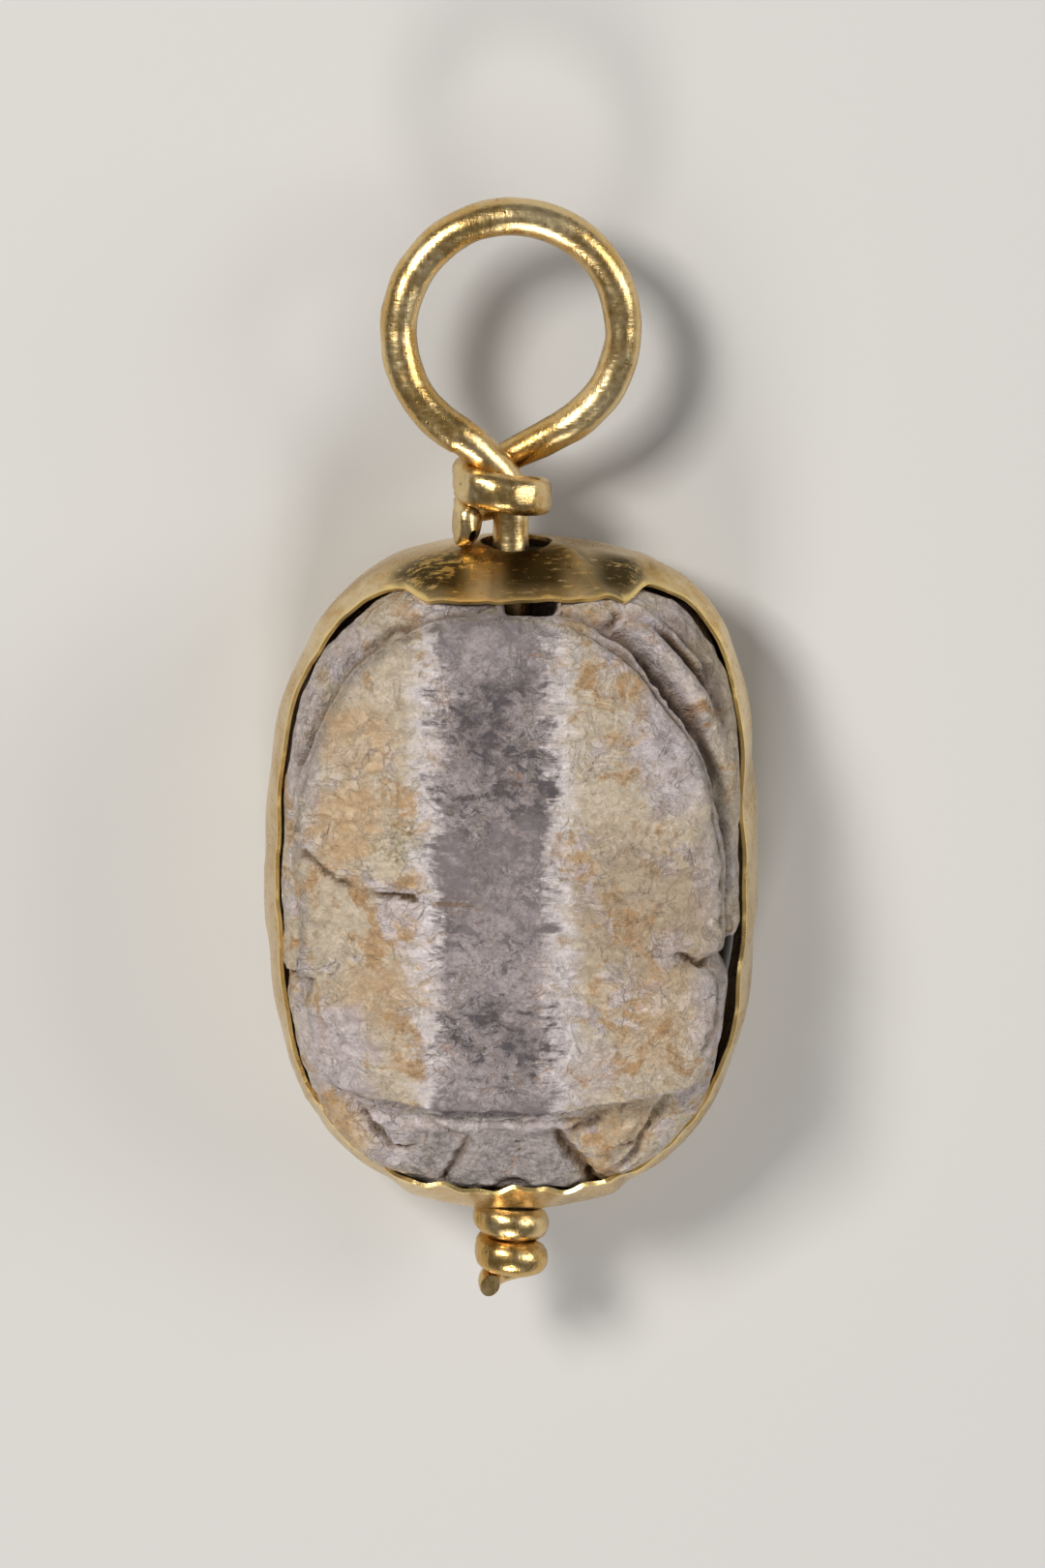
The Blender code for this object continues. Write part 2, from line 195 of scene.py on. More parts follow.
def dome(low, high, fullness):
    """A turned profile that rises from its edge almost to the middle."""
    rings = [math.cos(step / DOME_RINGS * math.pi / 2 * DOME_REACH) for step in range(DOME_RINGS + 1)]
    return [(ring, low + (high - low) * (1.0 - ring ** 2.1) ** fullness) for ring in rings]


def rod(name, diameter, start, end, across=0.0, end_diameter=None):
    """A round cutter along Y, at the bore's height."""
    bpy.ops.object.select_all(action="DESELECT")
    bpy.ops.mesh.primitive_cone_add(
        vertices=48, radius1=diameter / 2, radius2=(end_diameter or diameter) / 2,
        depth=end - start, location=(across, (start + end) / 2, BORE_HEIGHT),
        rotation=(-math.pi / 2, 0.0, 0.0))
    cutter = bpy.context.object
    cutter.name = name
    bpy.ops.object.transform_apply(location=True, rotation=True)
    return cutter


# The body's side from its base up: share of the outline, and height
BODY_SIDE = [(0.94, 0.0), (0.985, 0.12 * MM), (1.0, 0.5 * MM), (1.0, 5.6 * MM),
             (OVERHANG, 6.7 * MM), (OVERHANG, BODY_EDGE)]
body_dome = [(OVERHANG * ring, height)
             for ring, height in dome(BODY_EDGE, BODY_TOP, BODY_FULLNESS)[1:]]
stone = turned_blank("scarab_stone", BODY_SIDE + body_dome, body_edge)
back = turned_blank("back", [(0.96, BACK_LOW)] + dome(BACK_EDGE, BACK_TOP, BACK_FULLNESS), back_edge)

# The back ends in a wide leaning arc before the head
STEP_RADIUS = 27.0 * MM
STEP_PLACE = -8.6 * MM
STEP_LEAN = 0.01
STEP_HEIGHT = 20.0 * MM
bpy.ops.object.select_all(action="DESELECT")
bpy.ops.mesh.primitive_cone_add(
    vertices=400, radius1=(1.0 + STEP_LEAN) * STEP_RADIUS, radius2=(1.0 - STEP_LEAN) * STEP_RADIUS,
    depth=STEP_HEIGHT, location=(0.0, STEP_PLACE + STEP_RADIUS, STEP_HEIGHT / 2))
combine(back, bpy.context.object, "INTERSECT")
combine(stone, back, "UNION")

# The bore, worn wider at its mouths and broken open above at the tail
combine(stone, rod("bore", BORE_DIAMETER, -2 * HALF_LENGTH, 2 * HALF_LENGTH), "DIFFERENCE")
combine(stone, rod("tail_mouth", MOUTH_NARROW, MOUTH_START, MOUTH_END, end_diameter=MOUTH_WIDE),
        "DIFFERENCE")
combine(stone, rod("head_mouth", MOUTH_WIDE, -MOUTH_END, -MOUTH_START, end_diameter=MOUTH_NARROW),
        "DIFFERENCE")
RECESS_PLACE = (0.75 * MM, 12.62 * MM, 8.4 * MM)
RECESS_SIZE = (2.2 * MM, 1.6 * MM, 7.0 * MM)
RECESS_LEAN = math.radians(-12.5)
bpy.ops.mesh.primitive_cube_add(size=1.0, location=RECESS_PLACE, rotation=(RECESS_LEAN, 0.0, 0.0),
                                scale=RECESS_SIZE)
bpy.ops.object.transform_apply(location=True, rotation=True, scale=True)
combine(stone, bpy.context.object, "DIFFERENCE")


def remesh(piece, grid, rounding):
    """An even fine grid over the whole piece, with its corners worn round."""
    bpy.ops.object.select_all(action="DESELECT")
    bpy.context.view_layer.objects.active = piece
    piece.select_set(True)
    fine = piece.modifiers.new("fine", "REMESH")
    fine.mode = "VOXEL"
    fine.voxel_size = grid
    bpy.ops.object.modifier_apply(modifier=fine.name)
    worn = piece.modifiers.new("worn", "SMOOTH")
    worn.factor = 0.5
    worn.iterations = rounding
    bpy.ops.object.modifier_apply(modifier=worn.name)


remesh(stone, STONE_GRID, WEAR_PASSES)


def nearest(line, places):
    """Distance from places to a line of (x, y) corners in millimetres, and how
    far along the line the nearest point is, from 0 to 1."""
    corners = np.array(line) * MM
    lengths = np.linalg.norm(np.diff(corners, axis=0), axis=1)
    starts = np.concatenate([[0.0], np.cumsum(lengths)])
    gap = np.full(len(places), np.inf)
    share = np.zeros(len(places))
    for corner, following, length, start in zip(corners, corners[1:], lengths, starts):
        run = (following - corner) / length
        reach = np.clip((places[:, :2] - corner) @ run, 0.0, length)
        away = np.linalg.norm(places[:, :2] - corner - reach[:, None] * run, axis=1)
        closer = away < gap
        gap[closer] = away[closer]
        share[closer] = (start + reach[closer]) / starts[-1]
    return gap, share


def waver(places, size, seed):
    """Smooth random values from -1 to 1, as a sum of slanted waves of about one size."""
    chance = np.random.default_rng(seed)
    total = np.zeros(len(places))
    waves = 9
    for _ in range(waves):
        run = chance.normal(size=3)
        run *= math.tau / size * chance.uniform(0.6, 1.5) / np.linalg.norm(run)
        total += np.sin(places @ run + chance.uniform(0.0, math.tau))
    return total / math.sqrt(waves)


def paint_layer(piece, name, values):
    """Keep one value for each vertex, for the material to read."""
    layer = piece.data.attributes.new(name, "FLOAT", "POINT")
    layer.data.foreach_set("value", np.asarray(values, dtype=np.float32))


class Carving:
    """What the carver, breaks and wear take from or leave on a surface, with the dirt and painted shade
    kept for its grooves.
    """

    def __init__(self, piece):
        self.piece = piece
        self.places = places_of(piece)
        self.facing = facing_of(piece)
        self.up = ease((self.facing[:, 2] + 0.15) / 0.5) * ease((self.places[:, 2] - 6.5 * MM) / MM)
        self.cut = np.zeros(len(self.places))
        self.dirt_and_shade = np.zeros(len(self.places))
        self.ragged = self.places + 0.06 * MM * np.stack(
            [waver(self.places, 0.7 * MM, 31), waver(self.places, 0.6 * MM, 32),
             np.zeros(len(self.places))], axis=1)

    def groove(self, line, width, depth, dirt_and_shade=0.0, start=0.25, end=0.25, ragged=True):
        """A groove along a line, shallower at its ends. A depth under 0 makes a ridge."""
        gap, share = nearest(line, self.ragged if ragged else self.places)
        ends = ease((share + 0.02) / (start + 0.02)) * ease((1.02 - share) / (end + 0.02))
        shape = np.clip(1.0 - gap / (width / 2), 0.0, 1.0)
        shape = ease(shape) * ends * self.up
        self.cut += depth * shape
        self.dirt_and_shade = np.maximum(self.dirt_and_shade, dirt_and_shade * ease(2.2 * shape) * ends)

    def hollow(self, middle, half_sizes, depth, dirt_and_shade=0.0):
        """A shallow dish. A depth under 0 makes a swelling."""
        away = (self.ragged[:, :2] - np.array(middle) * MM) / (np.array(half_sizes) * MM)
        shape = ease(1.0 - np.linalg.norm(away, axis=1)) * self.up
        self.cut += depth * shape
        self.dirt_and_shade = np.maximum(self.dirt_and_shade, dirt_and_shade * shape)

    def roughen(self, depth, size, seed):
        """Random unevenness of about one size, all over but for the flat base."""
        above_base = ease(self.places[:, 2] / MM - 0.5)
        self.cut += depth * waver(self.places, size, seed) * above_base

    def finish(self):
        """Cut the surface, and keep the dirt and painted shade for the material. Nothing stands out far.
        """
        self.cut = np.maximum(self.cut, -0.3 * MM)
        move_to(self.piece, self.places - self.cut[:, None] * self.facing)
        paint_layer(self.piece, "dirt_and_shade", self.dirt_and_shade)


carving = Carving(stone)
# Legs at the right of the tail: two ridges with grooves between them, darkened with dirt and painted
# shade
carving.groove([(1.9, 12.2), (3.4, 11.75), (4.6, 11.0), (5.6, 10.15), (6.8, 8.6), (7.9, 7.1),
                (8.4, 5.8), (8.75, 4.5), (8.95, 3.0)], 0.85 * MM, 0.62 * MM, dirt_and_shade=0.6,
               ragged=False)
carving.groove([(5.6, 12.1), (6.7, 11.1), (7.6, 10.1), (8.4, 9.0), (9.0, 7.6)], 0.7 * MM, 0.75 * MM,
               dirt_and_shade=0.8, ragged=False)
carving.groove([(5.4, 12.9), (7.2, 11.9), (8.5, 10.4), (9.3, 8.4), (9.7, 6.0)], 1.7 * MM, 0.8 * MM,
               dirt_and_shade=0.5, ragged=False)
carving.groove([(4.5, 12.3), (3.9, 11.5)], 0.6 * MM, 0.4 * MM, dirt_and_shade=0.6)
carving.groove([(4.4, 11.9), (5.6, 11.3), (6.8, 10.0), (7.7, 8.6), (8.3, 7.4)], 1.1 * MM, -0.5 * MM,
               ragged=False)
# The tail's end falls away below the gold, darkened with painted shade under it
carving.groove([(-3.4, 12.9), (0.0, 13.1), (3.4, 12.8)], 1.7 * MM, 0.45 * MM, dirt_and_shade=0.3, ragged=False)
# A narrow line along the legs at the left
carving.groove([(-0.5, 12.6), (-2.3, 12.4), (-4.0, 11.9), (-5.4, 11.2), (-6.6, 10.15), (-7.4, 9.05),
                (-8.15, 7.6), (-8.8, 5.4), (-9.15, 3.0), (-9.15, 0.0)], 0.3 * MM, 0.15 * MM, dirt_and_shade=0.12,
               start=0.1)
carving.groove([(-6.2, 11.6), (-7.6, 10.1), (-8.5, 8.2), (-9.1, 5.4)], 0.3 * MM, 0.15 * MM, dirt_and_shade=0.2)
# Nicks between the wing cases and the front of the back, and the lines from them
carving.groove([(-9.6, -3.4), (-8.8, -3.3), (-7.5, -2.6)], 0.5 * MM, 0.45 * MM, dirt_and_shade=0.7,
               start=0.0, end=0.8)
carving.groove([(9.9, -2.6), (9.2, -2.7), (8.6, -2.6)], 2.0 * MM, 1.0 * MM, dirt_and_shade=0.3, start=0.0, end=0.4)
carving.groove([(8.7, -2.7), (8.1, -2.35), (7.5, -2.1), (6.85, -1.8), (6.0, -1.3)], 0.34 * MM, 0.3 * MM,
               dirt_and_shade=0.85, end=0.6)
# The crack across the left wing case, with chips at its inner end
carving.groove([(-8.9, 2.5), (-8.3, 2.2), (-7.5, 1.6), (-6.7, 1.15), (-6.2, 1.0)], 0.4 * MM, 0.22 * MM,
               dirt_and_shade=0.7, start=0.1)
carving.groove([(-6.3, 1.0), (-5.5, 0.92), (-4.8, 0.85), (-4.2, 0.82), (-3.6, 0.5)], 0.4 * MM, 0.3 * MM,
               dirt_and_shade=0.9, start=0.4, end=0.2)
carving.groove([(-3.8, 0.55), (-3.1, 0.49), (-2.2, 0.63), (-1.3, 0.4), (-0.8, 0.0)], 0.3 * MM, 0.12 * MM,
               dirt_and_shade=0.6)
# The step before the head is undercut by a thin line
carving.groove([(-7.0, -8.35), (-5.5, -8.75), (-3.9, -9.0), (-1.0, -9.25), (1.3, -9.25), (2.9, -9.1),
                (4.3, -8.75), (5.8, -8.3), (7.0, -7.75)], 0.22 * MM, 0.15 * MM, dirt_and_shade=0.35)
# Slanted grooves beside the head plate, and the folds above them
carving.groove([(-1.6, -9.6), (-2.1, -10.7), (-2.8, -12.1)], 0.5 * MM, 0.4 * MM, dirt_and_shade=0.5,
               start=0.3, end=0.0)
carving.groove([(1.65, -9.5), (2.3, -10.5), (2.9, -11.3), (3.5, -12.2)], 0.85 * MM, 0.6 * MM, dirt_and_shade=0.7,
               start=0.2, end=0.0)
carving.groove([(-4.0, -9.0), (-3.0, -9.5), (-1.9, -10.1)], 0.45 * MM, 0.2 * MM, dirt_and_shade=0.4)
carving.groove([(4.0, -8.9), (3.2, -9.3), (2.2, -9.9)], 0.6 * MM, 0.35 * MM, dirt_and_shade=0.5)
# Side plates: a broad facet each side, edged by a raised rim
carving.groove([(-6.6, -8.4), (-5.6, -9.8), (-4.95, -10.6), (-3.6, -10.5)], 0.45 * MM, 0.4 * MM, dirt_and_shade=0.6)
carving.groove([(-6.1, -8.6), (-5.0, -9.7), (-3.6, -10.1)], 0.7 * MM, -0.25 * MM)
carving.groove([(6.9, -7.8), (6.1, -9.1), (5.4, -10.4), (5.1, -11.0), (3.85, -12.0)], 0.5 * MM, 0.45 * MM,
               dirt_and_shade=0.45)
carving.groove([(5.6, -8.9), (4.6, -9.9), (3.3, -11.0)], 0.8 * MM, -0.3 * MM)
carving.groove([(4.0, -10.4), (4.7, -10.35), (5.3, -10.45)], 0.25 * MM, 0.2 * MM, dirt_and_shade=0.8)
# The head plate is dished, with two pits in it and a worn place at its front
carving.hollow((0.0, -10.6), (1.5, 1.3), 0.22 * MM)
carving.hollow((0.3, -10.35), (0.18, 0.16), 0.25 * MM, dirt_and_shade=0.9)
carving.hollow((0.4, -10.75), (0.16, 0.14), 0.2 * MM, dirt_and_shade=0.9)
carving.hollow((0.1, -12.3), (1.1, 0.35), 0.3 * MM, dirt_and_shade=0.6)
# A line inside the right edge of the front of the back
carving.groove([(8.9, -3.4), (8.5, -5.0), (7.9, -6.6)], 0.4 * MM, 0.25 * MM, dirt_and_shade=0.4)
# Broad unevenness and fine pitting of the whole surface
carving.roughen(0.07 * MM, 4.0 * MM, 11)
carving.roughen(0.035 * MM, 0.9 * MM, 12)
# Flaked skin: thin scales with raised rims
SCALE_DEPTH = 0.06 * MM
scales = np.abs(waver(carving.places, 2.6 * MM, 13)) + 0.6 * np.abs(waver(carving.places, 1.3 * MM, 14))
carving.cut += SCALE_DEPTH * ease(scales / 0.6) * carving.up
# A crease darkened with painted shade sets off the edge of the back, but for its front
CREASE_DEPTH = 0.26 * MM
CREASE_HALF_WIDTH = 0.2 * MM
turned = np.arctan2(carving.places[:, 1], carving.places[:, 0])
beyond = np.hypot(carving.places[:, 0], carving.places[:, 1]) - back_edge(turned)
behind = ease((carving.places[:, 1] / MM + 6.0) / 2.0)
wandering = beyond + 0.1 * MM * waver(carving.places, 1.5 * MM, 15)
crease = bell(wandering, 0.1 * MM, CREASE_HALF_WIDTH) * behind * carving.up
carving.cut += CREASE_DEPTH * crease
carving.dirt_and_shade = np.maximum(carving.dirt_and_shade, 0.6 * crease)
# A painted shade line just inside the back's edge, for the material
paint_layer(stone, "edge_shade", bell(beyond, -0.1 * MM, 0.45 * MM) * behind * carving.up)
carving.finish()


class Value:
    """One output of a shader node. Python's operators on it add the maths nodes."""

    def __init__(self, tree, output):
        self.tree = tree
        self.output = output

    def node(self, kind, inputs=None, output=0, **settings):
        """Add a node of any kind, with its settings and its inputs by name or number."""
        made = self.tree.nodes.new("ShaderNode" + kind)
        for name, setting in settings.items():
            setattr(made, name, setting)
        for name, value in (inputs or {}).items():
            if isinstance(value, Value):
                self.tree.links.new(value.output, made.inputs[name])
            else:
                made.inputs[name].default_value = value
        return Value(self.tree, made.outputs[output])

    def maths(self, operation, first, second=0.0, clamp=False):
        return self.node("Math", {0: first, 1: second}, operation=operation, use_clamp=clamp)

    def __add__(self, other):
        return self.maths("ADD", self, other)

    def __sub__(self, other):
        return self.maths("SUBTRACT", self, other)

    def __rsub__(self, other):
        return self.maths("SUBTRACT", other, self)

    def __mul__(self, other):
        return self.maths("MULTIPLY", self, other)

    def __truediv__(self, other):
        return self.maths("DIVIDE", self, other)

    def __pow__(self, other):
        return self.maths("POWER", self, other)

    def __abs__(self):
        return self.maths("ABSOLUTE", self)

    __radd__ = __add__
    __rmul__ = __mul__

    def clamped(self):
        return self.maths("ADD", self, 0.0, clamp=True)

    def rise(self, low, high):
        """0 below low, 1 above high, eased between them. Falls where low is above high."""
        start, end, ends = (low, high, (0.0, 1.0)) if low < high else (high, low, (1.0, 0.0))
        return self.node("MapRange", {0: self, 1: start, 2: end, 3: ends[0], 4: ends[1]},
                         interpolation_type="SMOOTHSTEP")

    def mix(self, first, second, blend="MIX"):
        """First colour where this is 0, second where it is 1."""
        return self.node("Mix", {0: self, 6: first, 7: second}, output=2, data_type="RGBA",
                         blend_type=blend)


class Paint:
    """A material with its shader, and the textures that its colours are made from."""

    def __init__(self, name):
        self.material = bpy.data.materials.new(name)
        self.material.use_nodes = True
        self.tree = self.material.node_tree
        self.shader = self.tree.nodes["Principled BSDF"]
        self.start = Value(self.tree, None)
        self.place = self.start.node("TexCoord", output=3)
        in_millimetres = [self.start.node("SeparateXYZ", {0: self.place}, output=axis) * (1.0 / MM)
                          for axis in range(3)]
        self.x, self.y, self.z = in_millimetres

    def noise(self, size, detail=4.0, roughness=0.55, stretch=(1.0, 1.0, 1.0), turn=(0.0, 0.0, 0.0),
              distortion=0.0):
        """Cloudy values about 0.5, of one size in metres along each unstretched axis."""
        mapped = self.start.node("Mapping", {"Vector": self.place, "Rotation": turn,
                                             "Scale": [1.0 / (size * part) for part in stretch]})
        return self.start.node("TexNoise", {"Vector": mapped, "Scale": 1.0, "Detail": detail,
                                            "Roughness": roughness, "Distortion": distortion})

    def cells(self, size, kind="F1"):
        """Distance to scattered points, which are about a size apart."""
        mapped = self.start.node("Mapping", {"Vector": self.place, "Scale": [1.0 / size] * 3})
        return self.start.node("TexVoronoi", {"Vector": mapped, "Scale": 1.0}, feature=kind)

    def attribute(self, name):
        return self.start.node("Attribute", output=2, attribute_name=name)

    def spot(self, x, y, half_x, half_y, warp):
        """1 in the middle of a patch of the surface, and 0 outside its uneven edge."""
        away = ((self.x - x) / half_x) ** 2.0 + ((self.y - y) / half_y) ** 2.0
        return (away + warp * 1.6).rise(1.3, 0.2)

    def feed(self, name, value):
        """Give one socket of the shader a value or a link."""
        if isinstance(value, Value):
            self.tree.links.new(value.output, self.shader.inputs[name])
        else:
            self.shader.inputs[name].default_value = value

    def bump(self, height, distance, strength):
        """Fine relief, whose full height is the distance."""
        made = self.start.node("Bump", {"Height": height, "Distance": distance, "Strength": strength})
        self.feed("Normal", made)


def tone(red, green, blue):
    """A colour from its values on a screen, 0 to 255."""
    return tuple(((part / 255 + 0.055) / 1.055) ** 2.4 for part in (red, green, blue)) + (1.0,)


# Patches of colour: place and half sizes in millimetres, and strength
OCHRE_PATCHES = ((-6.6, 7.2, 2.0, 1.6, 0.7), (-6.9, 3.9, 1.7, 2.0, 0.8), (-5.6, -3.6, 2.2, 1.6, 0.6),
                 (6.4, -4.6, 1.8, 2.4, 0.5), (-3.4, -9.6, 1.0, 0.6, 0.8), (-6.9, -10.0, 1.3, 1.9, 0.85),
                 (-3.2, 12.2, 2.0, 0.6, 0.7), (0.2, -9.35, 3.2, 0.6, 0.9), (4.9, -9.6, 1.6, 1.2, 0.6))
LILAC_PATCHES = ((-7.3, -6.0, 1.8, 2.6, 0.75), (-5.0, -9.4, 1.3, 0.9, 0.7), (6.6, 7.2, 2.0, 3.4, 0.7),
                 (-8.6, 7.0, 0.9, 4.5, 0.6), (-6.9, 10.6, 1.4, 1.2, 0.6), (8.6, -4.5, 1.2, 3.0, 0.6),
                 (5.5, 11.2, 2.6, 1.4, 0.7), (-4.8, -10.6, 1.2, 1.2, 0.6), (8.4, 1.5, 0.9, 2.4, 0.5),
                 (2.8, -6.5, 2.0, 1.6, 0.4))
# Paler clouds in the dark band: place along the beetle and half length in millimetres
PALE_CLOUDS = ((11.2, 1.6), (1.6, 2.6), (-8.0, 1.0))
BAND_MIDDLE = -0.75


def steatite():
    """Cream and ochre, lilac-white beside a dark grey-violet band, with dirty cracks, and painted shade
    in the grooves and along the back's edge.
    """
    paint = Paint("steatite_worn")
    cloud = paint.noise(5.5 * MM, detail=6.0, roughness=0.6, distortion=0.5)
    patch = paint.noise(1.7 * MM, detail=6.0, roughness=0.64, distortion=0.7)
    other = paint.noise(2.0 * MM, detail=6.0, roughness=0.62, turn=(1.0, 0.4, 0.9), distortion=0.5)
    fibre = paint.noise(0.6 * MM, detail=6.0, roughness=0.75, stretch=(1.0, 0.7, 1.0), distortion=0.8)
    grain = paint.noise(0.17 * MM, detail=3.0, roughness=0.7)
    fringe = paint.noise(0.5 * MM, detail=5.0, roughness=0.62, stretch=(2.6, 0.6, 1.0), distortion=0.9)
    warp = (patch - 0.5) * 2.4

    cream = (fibre * 0.6 + patch * 0.5).rise(0.42, 0.68).mix(tone(164, 147, 122), tone(212, 199, 180))
    ochre = (fibre * 0.6 + other * 0.5).rise(0.4, 0.7).mix(tone(164, 126, 84), tone(206, 180, 142))
    lilac = (fibre * 0.7 + patch * 0.4).rise(0.42, 0.68).mix(tone(156, 143, 146), tone(210, 201, 207))
    colour = (cloud * 0.45 + patch * 0.6).rise(0.525, 0.6).mix(cream, ochre)
    colour = ((cloud * 0.3 + other * 0.75).rise(0.55, 0.62) * 0.75).mix(colour, lilac)
    # Patches of ochre, tan, lilac and olive where the real stone has them
    for x, y, half_x, half_y, strength in OCHRE_PATCHES:
        colour = (paint.spot(x, y, half_x, half_y, warp) * strength).mix(colour, ochre)
    for x, y, half_x, half_y, strength in LILAC_PATCHES:
        colour = (paint.spot(x, y, half_x, half_y, warp) * strength).mix(colour, lilac)
    tan = paint.spot(5.4, 0.6, 3.0, 3.8, warp) * fibre.rise(0.35, 0.55)
    colour = (tan * 0.62).mix(colour, tone(150, 126, 98))
    olive = paint.spot(-4.4, 3.0, 1.4, 1.2, warp) * grain.rise(0.42, 0.6)
    colour = (olive * 0.65).mix(colour, tone(118, 110, 66))

    # The dark band runs down the middle, feathered into a pale lilac halo
    feather = (fringe - 0.5) * (other.rise(0.3, 0.7) * 3.6 + 0.8)
    side = abs(paint.x - BAND_MIDDLE) + feather + (patch - 0.5) * 3.0 + (cloud - 0.5) * 1.0
    upper_side = paint.z.rise(6.0, 8.0)
    halo_colour = fibre.rise(0.3, 0.7).mix(tone(188, 178, 180), tone(226, 218, 219))
    colour = (side.rise(3.7, 2.6) * upper_side * 0.8).mix(colour, halo_colour)
    dark = (patch * 0.4 + fibre * 0.4 + cloud * 0.3).rise(0.49, 0.61).mix(tone(78, 70, 72),
                                                                        tone(164, 153, 153))
    for y, half_y in PALE_CLOUDS:
        pale = paint.spot(-0.4, y, 3.4, half_y, warp) * 0.35
        dark = pale.mix(dark, tone(158, 147, 146))
    colour = (side.rise(2.7, 1.9) * paint.y.rise(-9.2, -8.9)).mix(colour, dark)
    head = paint.y.rise(-9.3, -9.8) * side.rise(4.0, 2.6)
    slate = (fibre * 0.6 + patch * 0.4).rise(0.42, 0.6).mix(tone(92, 85, 80), tone(182, 172, 170))
    colour = (head * 0.85).mix(colour, slate)

    # Fine mottling, pale veins, rusty hairlines and specks
    mottle = (grain * 0.25 + fibre * 0.45 + patch * 0.3).rise(0.47, 0.62)
    colour = (mottle * 0.7).mix(colour, tone(146, 130, 110), blend="MULTIPLY")
    vein = abs(fibre - 0.5).rise(0.03, 0.004) * other.rise(0.48, 0.6)
    colour = (vein * 0.3).mix(colour, tone(228, 220, 212))
    wander = paint.noise(2.6 * MM, detail=3.5, roughness=0.5, stretch=(1.3, 0.8, 1.0), distortion=0.6)
    rust = abs(wander - 0.5).rise(0.009, 0.002) * patch.rise(0.5, 0.6)
    colour = (rust * 0.5).mix(colour, tone(148, 100, 58))
    stray = paint.noise(3.4 * MM, detail=4.0, roughness=0.5, turn=(0.4, 1.2, 0.5), distortion=0.7)
    grey = abs(stray - 0.49).rise(0.008, 0.002) * other.rise(0.5, 0.6)
    colour = (grey * 0.6).mix(colour, tone(104, 92, 82))
    crinkle = abs(paint.noise(1.0 * MM, detail=5.0, roughness=0.6, turn=(0.7, 0.2, 1.1), distortion=0.7)
                  - 0.5).rise(0.07, 0.0) * other.rise(0.35, 0.55)
    colour = (crinkle * 0.22).mix(colour, tone(122, 104, 86))
    specks = paint.cells(0.8 * MM).rise(0.1, 0.03)
    colour = (specks * 0.45).mix(colour, tone(88, 74, 62))
    # Dirt in the cracks and pits, and painted shade in the grooves and the back's crease
    dirt_and_shade = paint.attribute("dirt_and_shade")
    # A painted shade line just inside the back's edge
    edge_shade = paint.attribute("edge_shade") * fibre.rise(0.35, 0.6)
    colour = (edge_shade * 0.7).mix(colour, tone(120, 110, 92))
    colour = dirt_and_shade.rise(0.05, 0.9).mix(colour, tone(112, 88, 64))
    colour = (dirt_and_shade.rise(0.7, 1.0) * 0.7).mix(colour, tone(62, 42, 28))

    paint.feed("Base Color", colour)
    paint.feed("Roughness", patch.rise(0.2, 0.8) * 0.14 + 0.5)
    paint.feed("Specular IOR Level", 0.42)
    height = fibre * 0.9 + grain * 0.3 + patch * 1.2 - crinkle * 0.3 - rust * 0.2 - grey * 0.15
    paint.bump(height, 0.2 * MM, 1.0)
    return paint.material


def finish_piece(piece, material, node, smooth_angle):
    """Give a piece its material, and let it stand for a solid of the frame."""
    bpy.ops.object.select_all(action="DESELECT")
    bpy.context.view_layer.objects.active = piece
    piece.select_set(True)
    bpy.ops.object.shade_smooth_by_angle(angle=math.radians(smooth_angle))
    piece.data.materials.clear()
    piece.data.materials.append(material)
    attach(piece, "root")
    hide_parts(node)


finish_piece(stone, steatite(), "scarab", 60.0)


# The gold strip: thin sheet gold bent round the stone's edge and pierced at both
# ends, so that the wire holds it. It is a pulled-up ring drawn to the outline,
# with dents, kinks and tears pressed in, and then given its thickness.

SHEET = 0.17 * MM
STRIP_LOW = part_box("gold_strip")[0].z + 0.05 * MM
STRIP_WIDTH = 6.5 * MM
LOBE_RISE = 2.1 * MM
LOBE_LEFT = -5.1 * MM
LOBE_RIGHT_AT_TAIL = 5.7 * MM
LOBE_RIGHT_AT_HEAD = 5.1 * MM
SHOULDER_RUN = 1.1 * MM
LONG_SHOULDER_RUN = 1.9 * MM
TORN_PLACE = -2.35
SIDE_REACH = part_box("gold_strip")[1].x - 0.63 * MM - SHEET
END_REACH = HALF_LENGTH + 0.32 * MM
TAIL_HOLE_WIDTH = 3.0 * MM
TAIL_HOLE_PLACE = 0.22 * MM
TAIL_HOLE_SQUASH = 0.64
TAIL_HOLE_START = 12.9 * MM
HEAD_HOLE_WIDTH = 2.5 * MM
HEAD_HOLE_START = 12.3 * MM
HOLES_END = 16.0 * MM
STRIP_ROWS = 40
AROUND_STRIP = 480


def strip_power(angle, row):
    """The sheet's upper edge stands off the stone's round corners at the tail,
    most on the right, and its bulging middle is rounder."""
    tail = towards_tail(angle)
    right = towards_right(angle)
    upper = ease((row - 0.45) / 0.5)
    middle = 2.5 + 0.4 * tail * right
    edge = 2.85 + tail * (0.2 + 1.1 * right)
    return middle + (edge - middle) * upper


